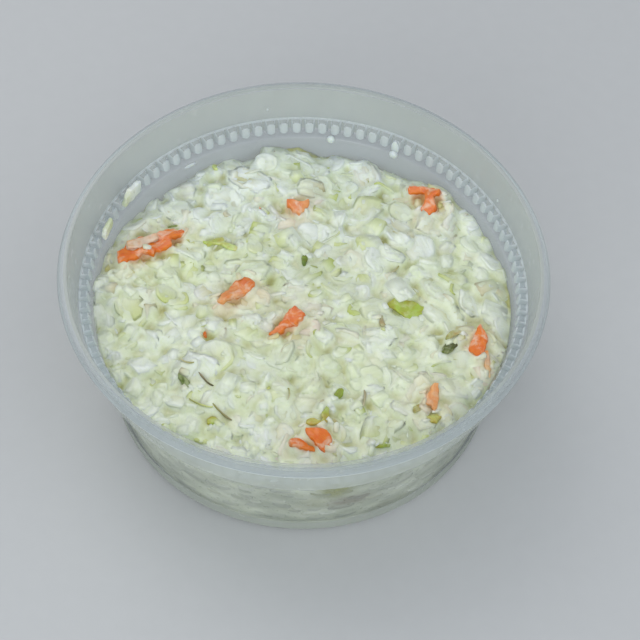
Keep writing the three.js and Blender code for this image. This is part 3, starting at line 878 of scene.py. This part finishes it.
greenOutlines = [
    ([(20, -2.4), (22.6, 0.2), (25.2, 0.2), (28, -1.4), (29.4, -2.2), (29.2, -4.4), (26.8, -5.4),
      (25.6, -6), (23.6, -5), (22, -3.5), (20.4, -3.2)], 1.3, "lime", "lime"),
    ([(-0.8, 10.4), (-0.4, 12), (0.1, 12.7), (0.8, 12.2), (0.8, 10.6), (0.3, 8.4), (-0.4, 8.4)],
      1.3, "dark", "leaf"),
    ([(-29, -24.8), (-27.8, -25.5), (-26.4, -26.3), (-26.5, -28.6), (-28, -27.4), (-28.9, -26)],
      1.3, "dark", "dark"),
    ([(7.6, -29.4), (8.2, -28.1), (9.4, -27.5), (9.9, -28), (9.6, -29.6), (8.6, -30.6), (7.8, -30.3)],
      1.3, "leaf", "leaf"),
    ([(33, -16.9), (33.8, -14.4), (35.4, -12.9), (36.4, -13.2), (36.9, -14.8), (36, -15.5),
      (34.8, -16.7)], 1.8, "dark", "soot"),
    ([(33.9, -12.8), (35, -11.2), (37.2, -10.4), (38.6, -11.4), (38.2, -12.2), (37, -11.6),
      (35.4, -12.8), (34.4, -13.4)], 1.4, "olive", "tan"),
    ([(-21.7, -36.6), (-20.6, -35.7), (-19, -36.7), (-19.4, -38), (-20.2, -38.8), (-21.5, -38)],
      1.4, "ochre", "lime"),
    ([(1.2, -38.3), (2, -36.8), (3.4, -37), (4.8, -38), (4.4, -39), (2.4, -39)], 1.3, "ochre", "ochre"),
    ([(4.6, -34.8), (6, -32.8), (6.7, -33.6), (6.8, -37), (5.4, -39), (4.2, -38.9), (5, -36.8)],
      1.3, "ochre", "lime"),
    ([(25.7, -33.6), (26.6, -32.3), (28.2, -31.8), (28.7, -33.2), (27.4, -33.9), (26.2, -34.5)],
      1.3, "olive", "ochre"),
    ([(28.8, -33.6), (31, -33), (32.6, -35), (31.4, -37.2), (29.4, -36.6)], 1.3, "yellow", "ochre"),
    ([(-25.2, 15.6), (-23.6, 16), (-21.8, 17.4), (-20.4, 17.6), (-19.8, 15.6), (-18, 14.6), (-16.4, 14),
      (-17.2, 12.8), (-19.4, 13.1), (-20.8, 14.6), (-22.4, 15.1), (-23.8, 14.1)], 1.3, "lime", "yellow"),
    ([(11.6, -33.4), (12.2, -32.8), (13, -33.4), (13.2, -34.4), (12.6, -34.2)], 0.9, "olive", "brown"),
    ([(7, -37), (7.6, -36), (8.6, -36.6), (9, -38), (8, -38.2)], 1.1, "tan", "olive"),
    ([(18.2, -7), (19, -6.6), (19.6, -8.6), (20.6, -9.6), (20, -10.2), (18.4, -9)], 0.9, "brown", "tan"),
    ([(-8.7, -27.8), (-7.4, -27.6), (-6.9, -28.8), (-8, -29.6)], 1, "lime", "yellow"),
    ([(-24.3, 42.6), (-23, 43.2), (-22.8, 40.8), (-23.8, 40.5)], 1.2, "lime", "yellow"),
    ([(-35, 22.6), (-33, 22.2), (-31.6, 21.6), (-32, 21.1), (-34.6, 21.9)], 0.9, "dark", "leaf"),
    ([(15.4, -43.9), (18, -43.2), (20.8, -42.9), (20.6, -43.7), (17.6, -44.2)], 1, "lime", "leaf"),
    ([(7.2, -46.2), (7.8, -45.7), (8.2, -46.4), (7.6, -46.9)], 1, "olive", "dark"),
]
# painted shade: thin brown and olive shreds laid in the clefts, standing for the shade there: x, y, turn,
# length, width, thickness
cleftShreds = [
    (-22.4, -26.4, -48, 5.4, 0.8, 1, "brown", "soot"), (-18.2, -34.8, -46, 6, 0.8, 1, "olive", "brown"),
    (-27, -22, -28, 3.6, 1, 1, "tan", "olive"), (-23.2, -33, -24, 6, 0.9, 1, "olive", "yellow"),
    (-3, -30.6, 84, 3.2, 0.8, 0.9, "tan", "olive"), (14.6, -30.4, 80, 5, 0.9, 1, "tan", "brown"),
    (22, 8.6, 42, 4.4, 1, 1, "tan", "olive"), (-41.6, 30, -24, 3, 0.8, 0.9, "olive", "tan"),
]
# large pale flakes, in the same order
paleFlakes = [
    (-14.4, 37.6, -33, 13.0, 8.0, 2.4, "white", "white"), (-14.2, 7.0, 1, 12.6, 8.0, 2.0, "pale", "pale"),
    (33.6, -3.9, -51, 11.0, 8.6, 2.2, "white", "pale"), (-28.6, 13.4, -28, 9.2, 5.0, 2.0, "white", "pale"),
    (22.8, 19.7, -45, 8.0, 4.6, 2.6, "white", "white"),
]


def outlineShape(corners, seed, thick):
    # a piece drawn corner by corner; it lies along its own long way, and its cut faces are rough
    flat = np.array(corners, float)
    flat = flat - flat.mean(0)
    spreadOut = flat.T @ flat
    yaw = 0.5 * math.atan2(2 * spreadOut[0, 1], spreadOut[0, 0] - spreadOut[1, 1])
    cosYaw, sinYaw = math.cos(yaw), math.sin(yaw)
    along, across = flat[:, 0] * cosYaw + flat[:, 1] * sinYaw, flat[:, 1] * cosYaw - flat[:, 0] * sinYaw
    own = np.stack([along, across], 1) / 10
    piece = traceProfile("cutPiece", [tuple(corner) for corner in own])
    editAll(piece)
    bpy.ops.mesh.edge_face_add()
    bpy.ops.mesh.extrude_region_move(TRANSFORM_OT_translate={"value": (0, thick / 10, 0)})
    leaveEdit()
    piece.rotation_euler = (-math.pi / 2, 0, 0)
    settle(piece)
    applyModifier(piece, "REMESH", mode="VOXEL", voxel_size=0.034)
    place = points(piece)
    across, along = place[:, 1] * 10, place[:, 0] * 10
    rough = np.sin(7 * across + 0.8 * np.sin(1.9 * along + seed))
    rough = rough + np.sin(2.1 * along + seed) * np.cos(3.1 * across)
    place[:, 2] += 0.010 * rough + 0.03 * np.sin(0.9 * along + seed)
    place[:, 1] += 0.010 * np.sin(3.7 * along + 2 * seed)
    place[:, 0] += 0.008 * np.sin(4.1 * across + seed)
    movePoints(piece, place)
    editAll(piece)
    bpy.ops.mesh.vertices_smooth(factor=0.5, repeat=2)
    bpy.ops.object.mode_set(mode="OBJECT")
    size = (float(np.ptp(own[:, 0]) * 10), float(np.ptp(own[:, 1]) * 10), thick)
    middle = (own.max(0) + own.min(0)) * 5
    x = np.mean([corner[0] for corner in corners]) + middle[0] * cosYaw - middle[1] * sinYaw
    y = np.mean([corner[1] for corner in corners]) + middle[0] * sinYaw + middle[1] * cosYaw
    return keptShape(piece), (float(x), float(y), math.degrees(yaw), *size)


def drawnBits(outlines, seed):
    shapes, bits = [], []
    for i, (corners, thick, first, second) in enumerate(outlines):
        shape, place = outlineShape(corners, seed + i, thick)
        shapes.append(shape)
        bits.append((*place, first, second))
    return shapes, bits


carrotShapes, carrotBits = drawnBits(carrotOutlines, 3)
greenShapes, greenBits = drawnBits(greenOutlines, 40)
# carrot stains what lies near it, but for the last two pieces, which are too small
for corners, thick, first, second in carrotOutlines[:-2]:
    for x, y in corners:
        away = (cellX - x * mm) ** 2 + (cellY - y * mm) ** 2
        blush = np.maximum(blush, np.exp(-away / (2.8 * mm) ** 2))
print("drawn", len(carrotBits), "carrot and", len(greenBits), "green pieces")


def layNamed(bits, shapes, sink, wiped=0):
    rows = []
    for i, (x, y, turn, length, width, thick, first, second) in enumerate(bits):
        first, second = tints[first], tints[second]
        size = (length * mm, width * mm, thick * mm)
        laid = layPiece(x * mm, y * mm, size, math.radians(turn), (0, 0), sink, (first + second) / 2, 0.35)
        window, dx, dy, under = around(x * mm, y * mm, size[0], size[1], math.radians(turn))
        bare[window][under] = wiped
        if laid:
            rows.append((shapes[i % len(shapes)], laid, first, second))
    return rows


def tuckIn(bits, rows, amount=3):
    # small bits lap over the edges of each of these pieces
    kind = kinds["cabbageCrumbs"]
    for x, y, degrees, length, width, thick, first, second in bits:
        yaw = math.radians(degrees)
        for i in range(amount):
            angle = dice.uniform(0, 2 * math.pi)
            a, b = (0.5 * length + 0.5) * math.cos(angle), (0.5 * width + 0.5) * math.sin(angle)
            px, py = x + a * math.cos(yaw) - b * math.sin(yaw), y + a * math.sin(yaw) + b * math.cos(yaw)
            size = np.array([dice.uniform(1.8, 3.2), dice.uniform(1.2, 2.0), dice.uniform(0.7, 1.1)]) * mm
            near, far = pieceTints(px * mm, py * mm)
            turn, tip = dice.uniform(0, 6.3), dice.normal(0, 0.15, 2)
            laid = layPiece(px * mm, py * mm, size, turn, tip, 0.3, near)
            if laid:
                rows.append((kind["shapes"][i % len(kind["shapes"])], laid, near, far))


placed = fillHeap()
flakeShapes = [leafShape(40 + i, 8, 6) for i in range(5)]
placed["paleFlakes"] = layNamed(paleFlakes, flakeShapes, 0.35)
cleftShadeShapes = [shredShape(20 + i) for i in range(4)]
# painted shade: dark shreds laid in the clefts
placed["cleftShreds"] = layNamed(cleftShreds, cleftShadeShapes, 0.55, 0.5)
placed["carrotPieces"] = layNamed(carrotBits, carrotShapes, 0.25, 1)
placed["greenPieces"] = layNamed(greenBits, greenShapes, 0.15, 1)
tuckIn(carrotBits + greenBits, placed["cabbageCrumbs"])

skinOfHeap = blurred(pile, 8)

slawWet = tintedMaterial("wetCabbage")
carrotWet = tintedMaterial("wetCarrot", 0.3, 0.2, 0.4 * mm, veil=0.65, coat=(0.84, 0.62, 0.46))
greenWet = tintedMaterial("wetGreen", 0.25, 0.3, 0.35 * mm, veil=0.4, coat=(0.72, 0.78, 0.46))
finishOf = dict(carrotPieces=carrotWet, greenPieces=greenWet)
heapPieces = {}
for name, rows in placed.items():
    piece = copiesOf(name, rows)
    piece.data.materials.append(finishOf.get(name, slawWet))
    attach(piece, "root")
    heapPieces[name] = piece


def makeCore(look=cupLook, heap=heapLook):
    base = look["baseLift"] + look["wall"]
    into = heap["coreInWall"]
    corner = look["baseCorner"] - 1 * mm
    outline = [(0, base - into), (0.6 * look["bodyFoot"], base - into)]
    outline += arc(look["bodyFoot"] - corner, base + corner, corner + into, -90, 0, 4)
    rows = 26
    top = heap["edge"] - 4 * mm
    for i in range(1, rows):
        z = base + corner + (top - base - corner) * i / (rows - 1)
        outline.append((float(wallRadius(z)) + into, z))
    rings = 24
    rim = outline[-1][0]
    for i in range(1, rings + 1):
        outline.append((rim * (1 - i / rings), cupHeight))
    piece = traceProfile("slawCore", outline)
    editAll(piece)
    bpy.ops.mesh.spin(steps=240, angle=2 * math.pi, center=(0, 0, 0), axis=(0, 0, 1))
    leaveEdit(0.002 * mm)
    place = points(piece)
    raised = place[:, 2] > cupHeight - 1 * mm
    place[raised, 2] = heapLevel(place[raised, 0], place[raised, 1]) - heap["startBelow"]
    movePoints(piece, place)
    smoothed(piece)
    return piece


# what shows through the wall: soft patches of light and shade, and stains, each with its angle and
# height, half its length and half its height in mm, its colour and its strength
wallTints = dict(
    light=(0.80, 0.84, 0.66), shade=(0.40, 0.43, 0.29), yellowish=(0.56, 0.58, 0.34),
    grey=(0.36, 0.38, 0.26),
)
wallStains = [
    (-80, 22.4, 3.2, 4.2, (0.30, 0.31, 0.01), 1.0), (-75.5, 14.0, 4.4, 2.4, (0.23, 0.19, 0.08), 0.9),
    (-86, 15.0, 2.4, 2.4, (0.42, 0.42, 0.20), 0.5), (-59, 4.4, 2.0, 1.6, (0.34, 0.37, 0.18), 0.5),
    (-64.5, 5.0, 2.2, 1.3, (0.34, 0.34, 0.16), 0.5), (-91, 11.5, 4.0, 1.8, (0.42, 0.43, 0.26), 0.45),
    (-101, 10.8, 3.2, 1.4, (0.40, 0.42, 0.30), 0.5), (-112, 18.0, 5.0, 1.2, (0.42, 0.44, 0.30), 0.35),
    (-47, 12.0, 5.0, 1.4, (0.42, 0.45, 0.30), 0.35), (-130, 12.0, 6.0, 1.5, (0.44, 0.46, 0.32), 0.35),
]
wallTints = {name: np.array(colour) for name, colour in wallTints.items()}
wallTints["mean"] = (wallTints["light"] + wallTints["shade"]) / 2


def wallColours(place):
    turn = np.arctan2(place[:, 1], place[:, 0])
    level = place[:, 2] / mm
    drift = np.sin(13 * turn + 1.2 * np.sin(level / 2.3)) * np.sin(level / 2.1 + 1.4 * np.sin(8 * turn))
    drift = drift + 0.6 * np.sin(31 * turn + np.sin(level)) * np.sin(level / 0.9 + np.sin(19 * turn))
    share = np.clip(0.5 + 0.4 * drift, 0, 1)[:, None]
    colour = wallTints["shade"] * (1 - share) + wallTints["light"] * share
    for angle, z, long, tall, tint, strength in wallStains:
        off = (np.degrees(turn) - angle + 180) % 360 - 180
        off = np.radians(off) * np.hypot(place[:, 0], place[:, 1]) / mm
        far = (off / long) ** 2 + ((level - z) / tall) ** 2
        cover = (strength * np.clip(1.7 * np.exp(-far), 0, 1))[:, None]
        colour = colour * (1 - cover) + np.array(tint) * cover
    return colour


core = makeCore()
paint(core.data, wallColours(points(core)))


# dressing: a film that fills the hollows between the pieces and coats some of them
dressingLook = dict(reach=3, closing=0.72, below=0.08 * mm, wobble=0.1 * mm, columns=300, deep=1.0 * mm)


def spread(grid, reach, choose):
    # the highest or lowest value in a round patch about each cell
    result = grid
    for di in range(-reach, reach + 1):
        for dj in range(-reach, reach + 1):
            if di * di + dj * dj <= reach * reach + 1:
                result = choose(result, shifted(grid, di, dj))
    return result


def heightOf(pieces):
    # the real top of the heap, looked at from straight above
    graph = bpy.context.evaluated_depsgraph_get()
    trees = [BVHTree.FromObject(piece, graph) for piece in pieces]
    heights = heapLevel(cellX, cellY) - heapLook["startBelow"]
    down = Vector((0, 0, -1))
    for i, j in np.argwhere(insideCup):
        start = Vector((cellX[i, j], cellY[i, j], cupHeight))
        for tree in trees:
            hit = tree.ray_cast(start, down)[0]
            if hit and hit.z > heights[i, j]:
                heights[i, j] = hit.z
    return heights


def makeDressing(look=dressingLook, heap=heapLook):
    heights = heightOf(list(heapPieces.values()))
    # cells just outside the cup take the height of the nearest inside
    radius = np.maximum(np.hypot(cellX, cellY), 1e-6)
    pull = np.minimum(1, (wallRadius(heap["edge"]) - 0.4 * mm) / radius)
    edgeHeights = heights[cellOf(cellX * pull), cellOf(cellY * pull)]
    heights = np.where(insideCup, heights, edgeHeights)
    # the film stands a little out from each piece, and is drawn smooth
    closed = spread(spread(heights, look["reach"], np.maximum), look["reach"] - 1, np.minimum)
    film = blurred(closed * look["closing"] + heights * (1 - look["closing"]), 3)
    a, b = cellX / mm, cellY / mm
    wobble = np.sin(a * 0.83 + 1.3 * np.sin(b * 0.41)) * np.sin(b * 0.71 + 1.2 * np.sin(a * 0.37) + 1)
    wobble = wobble + 0.4 * np.sin(a * 2.3 + np.sin(b * 1.1)) * np.sin(b * 2.0 + np.sin(a * 0.9) + 1)
    film = film - look["below"] + look["wobble"] * wobble - 0.5 * mm * blurred(bare, 1)
    # painted shade: the deeper the film lies in a hollow, the darker and yellower it is painted
    hollow = np.clip((blurred(closed, 24) - film) / look["deep"], 0, 1)[..., None] ** 1.6
    soft = blurred(pileTint, 3)
    white = tints["white"] * 0.7 + tints["pale"] * 0.3
    colour = soft * 0.6 + white * 0.4
    colour = colour * (1 - hollow) + colour * paintedHollowShade * hollow
    # painted light: the film's edges and back are painted lighter
    colour = colour * paintedEdgeLight(cellX, cellY)
    bpy.ops.mesh.primitive_grid_add(x_subdivisions=look["columns"], y_subdivisions=look["columns"], size=2)
    piece = startPiece("dressing")
    place = points(piece)
    u, v = place[:, 0], place[:, 1]
    wide = np.abs(u) > np.abs(v)
    reach = np.where(wide, u, v)
    ratio = np.where(wide, v, u) / np.where(np.abs(reach) < 1e-9, 1, reach)
    angle = np.where(wide, ratio * math.pi / 4, math.pi / 2 - ratio * math.pi / 4)
    rim = float(wallRadius(heap["edge"])) + heap["coreInWall"]
    x, y = rim * reach * np.cos(angle), rim * reach * np.sin(angle)
    z = sample(film, x, y)
    movePoints(piece, np.stack([x, y, z], 1))
    editAll(piece)
    bpy.ops.mesh.region_to_loop()
    bpy.ops.mesh.extrude_region_move(TRANSFORM_OT_translate={"value": (0, 0, -7 * mm)})
    bpy.ops.mesh.edge_face_add()
    leaveEdit()
    place = points(piece)
    movePoints(piece, pressedToWall(place, heap["coreInWall"] + 0.02 * mm))
    paint(piece.data, sample(colour, place[:, 0], place[:, 1]))
    smoothed(piece)
    return piece


def facingOut(angle, roll=0):
    # long side along the wall, thin side out through it
    outward = np.array([math.cos(angle), math.sin(angle), 0])
    along = np.array([-math.sin(angle), math.cos(angle), 0]) * math.cos(roll)
    along = along + np.array([0, 0, math.sin(roll)])
    return outward, np.stack([along, np.cross(outward, along), outward], 1)


# bits that show through the cup, flat against its wall and side by side
pressedLook = dict(tries=1400, lowest=4.7 * mm, below=1.0 * mm, median=4.4 * mm, spread=0.4, thick=0.4 * mm)
pressedTints = dict(light=0.40, shade=0.34, yellowish=0.18, grey=0.08)


def againstWall(angle, z, size, roll, into):
    outward, turn = facingOut(math.radians(angle), roll)
    centre = outward * (float(wallRadius(z)) + into - 0.22 * size[2]) + np.array([0, 0, z])
    return turn * np.array(size), centre


def pressedBits(look=pressedLook):
    rows, taken = [], []
    names = list(pressedTints)
    shares = list(pressedTints.values())
    shapes = kinds["cabbageSlices"]["shapes"]
    for i in range(look["tries"]):
        angle = dice.uniform(-180, 180)
        x, y = (0.97 * wallRadius(heapLook["edge"]) * f(math.radians(angle)) for f in (math.cos, math.sin))
        z = dice.uniform(look["lowest"], float(heapLevel(x, y)) - look["below"])
        length = float(np.clip(look["median"] * math.exp(dice.normal(0, look["spread"])), 2.2 * mm, 9 * mm))
        size = (length, min(length * dice.uniform(0.4, 0.7), 4 * mm), look["thick"])
        blend, roll = dice.random(), dice.normal(0, 0.25)
        first, second = (wallTints[names[k]] for k in dice.choice(len(names), 2, p=shares))
        along = math.radians(angle) * 49 * mm
        halves = [(abs(along - u) / (length + w), abs(z - v) / (size[1] + t)) for u, v, w, t in taken]
        if any(a < 0.5 and b < 0.5 for a, b in halves):
            continue
        taken.append((along, z, length, size[1]))
        laid = againstWall(angle, z, size, roll, heapLook["piecesInWall"])
        here = wallColours(np.array([laid[1]]))[0]
        tint = here * ((first * blend + second * (1 - blend)) / wallTints["mean"]) ** 0.6
        rows.append((shapes[dice.integers(len(shapes))], laid, tint, tint))
    return copiesOf("pressedCabbage", rows, heapLook["piecesInWall"] + 0.03 * mm, False)


pressed = pressedBits()
pressed.data.materials.append(slawWet)
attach(pressed, "root")

# scraps of cabbage stuck to the ribs: how they roll, their sizes along the ribs, up and out,
# and lumps by their place and size in shares of the whole, with a tint each
scrapLook = dict(
    scrap_long=dict(
        roll=0.12, size=(6.6, 4.8, 1.8), leaf="bluish", seed=5,
        lumps=[
            (-0.22, 0.08, 0.62, 0.84, "bluish"), (0.02, 0.16, 0.50, 0.66, "coat"),
            (0.12, -0.16, 0.52, 0.60, "bluish"), (0.30, -0.06, 0.40, 0.62, "greenish"),
            (0.40, -0.30, 0.24, 0.34, "greenish"), (-0.34, 0.20, 0.30, 0.5, "bluish"),
        ]),
    scrap_short=dict(
        roll=-0.05, size=(5.4, 3.8, 1.6), leaf="greenish", seed=9,
        lumps=[
            (-0.20, 0.06, 0.60, 0.88, "greenish"), (0.06, -0.02, 0.60, 0.96, "greenish"),
            (0.28, -0.06, 0.46, 0.74, "coat"),
        ]),
)


def makeScrap(node, look):
    # a leaf and its lumps grown into one, at the middle of the node's box
    low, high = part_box(node)
    middle = (low + high) / 2
    outward, turn = facingOut(math.atan2(middle.y, middle.x), look["roll"])
    size = np.array(look["size"]) * mm
    middle = np.array(middle)
    tint = tints[look["leaf"]]
    leaf = (turn * size * np.array([0.94, 0.94, 0.9]), middle)
    rows = [(leafShape(look["seed"], 10, 8), leaf, tint, tint)]
    for i, (u, v, long, tall, name) in enumerate(look["lumps"]):
        centre = middle + turn @ (size * np.array([u, v, -0.06]))
        lump = (turn * size * np.array([long, tall, 0.86]), centre)
        rows.append((chunkShape(30 + look["seed"] + i), lump, tints[name], tints[name]))
    piece = copiesOf(node.replace("_", "") + "Flake", rows, 3 * mm, False)
    applyModifier(piece, "REMESH", mode="VOXEL", voxel_size=0.16 * mm)
    editAll(piece)
    bpy.ops.mesh.vertices_smooth(factor=0.5, repeat=9)
    bpy.ops.object.mode_set(mode="OBJECT")
    place = points(piece)
    own = (place - middle) @ turn / size
    weights = np.zeros(len(place))
    colour = np.zeros((len(place), 3))
    for u, v, long, tall, name in look["lumps"]:
        far = ((own[:, 0] - u) / (0.5 * long)) ** 2 + ((own[:, 1] - v) / (0.5 * tall)) ** 2
        weight = np.exp(-far) + 1e-6
        weights += weight
        colour += weight[:, None] * tints[name]
    for old in list(piece.data.color_attributes):
        piece.data.color_attributes.remove(old)
    paint(piece.data, colour / weights[:, None])
    smoothed(piece)
    piece.data.materials.append(dressingWet)
    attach(piece, "root")
    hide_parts(node)


dressing = makeDressing()
dressingWet = tintedMaterial("creamyDressing", 0.2, 0.5, 0.25 * mm, False)
for node, look in scrapLook.items():
    makeScrap(node, look)
core.data.materials.append(dressingWet)
dressing.data.materials.append(dressingWet)
for piece in (core, dressing):
    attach(piece, "root")
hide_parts("coleslaw")
print("heap laid")

# drops of dressing on the wall: the angle and the height of each, how wide, tall and thick it is,
# and how far in from the wall it stands, in mm
dropLook = [
    (83.2, 31.5, 2.0, 2.2, 1.8, 0.5), (64.1, 31.7, 2.3, 2.3, 1.8, 0.5), (64.1, 33.5, 2.1, 4.8, 1.0, 0.15),
    (125.8, 30.2, 3.6, 1.1, 0.4, 0), (29.0, 37.5, 0.7, 0.9, 0.3, 0), (101.0, 38.6, 0.6, 0.6, 0.3, 0),
]


def insideAt(z, look=cupLook):
    # the body's wall, above it the faces of the ribs, and above them the collar
    if z < look["ribFoot"]:
        return float(wallRadius(z))
    if z > look["ribTop"]:
        share = (z - look["ribTop"]) / (cupHeight - look["ribTop"])
        return look["collarFoot"] + (look["collarTop"] - look["collarFoot"]) * share
    share = (look["ribTop"] - z) / (look["ribTop"] - look["ribFoot"] - look["ribHeel"])
    return look["ribInner"] - look["ribTaper"] * share


def makeDrops():
    drops = []
    for angle, z, width, tall, thick, inward in dropLook:
        bpy.ops.mesh.primitive_uv_sphere_add(segments=20, ring_count=12, radius=0.5)
        drop = startPiece("drop")
        place = points(drop)
        # heavier below than above
        place[:, :2] *= (1 - 0.12 * place[:, 2:3])
        outward, turn = facingOut(math.radians(angle))
        centre = outward * (insideAt(z * mm) - inward * mm) + np.array([0, 0, z * mm])
        size = np.array([width, tall, thick]) * mm
        own = np.stack([place[:, 0], place[:, 2], -place[:, 1]], 1) * size
        movePoints(drop, own @ turn.T + centre)
        drops.append(drop)
    deselectAll()
    for drop in drops:
        drop.select_set(True)
    bpy.context.view_layer.objects.active = drops[0]
    bpy.ops.object.join()
    piece = startPiece("dressingDrops")
    editAll(piece)
    leaveEdit()
    paint(piece.data, np.tile(tints["drop"], (len(piece.data.vertices), 1)))
    smoothed(piece)
    return piece


drops = makeDrops()
drops.data.materials.append(dressingWet)
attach(drops, "root")
print("drops on the wall")

# a plain pale floor in a soft studio
bpy.ops.mesh.primitive_plane_add(size=2.4)
floor = startPiece("floor")
floor.data.materials.append(paleFloor())

lights = dict(skyStrength=0.56, keyPower=2.2, fillPower=1.4, frontPower=2.2)


def addLight(name, place, size, power, colour):
    lamp = bpy.data.objects.new(name, bpy.data.lights.new(name, "AREA"))
    lamp.data.shape = "DISK"
    lamp.data.size = size
    lamp.data.energy = power
    lamp.data.color = colour
    lamp.location = place
    lamp.rotation_euler = (Vector((0, 0, 0.02)) - Vector(place)).to_track_quat("-Z", "Y").to_euler()
    bpy.context.scene.collection.objects.link(lamp)


def softStudio(look=lights):
    world = bpy.data.worlds.new("studio")
    bpy.context.scene.world = world
    world.use_nodes = True
    world.node_tree.nodes["Background"].inputs["Color"].default_value = (0.90, 0.95, 1.0, 1)
    world.node_tree.nodes["Background"].inputs["Strength"].default_value = look["skyStrength"]
    addLight("keyLight", (-0.35, 0.45, 0.75), 0.7, look["keyPower"], (1.0, 0.99, 0.97))
    addLight("fillLight", (0.5, -0.35, 0.6), 0.8, look["fillPower"], (0.93, 0.97, 1.0))
    addLight("frontLight", (-0.2, -0.65, 0.32), 0.6, look["frontPower"], (0.97, 0.99, 1.0))
    bpy.context.scene.view_settings.view_transform = "Standard"
    bpy.context.scene.view_settings.look = "None"


softStudio()
print("floor and light set")
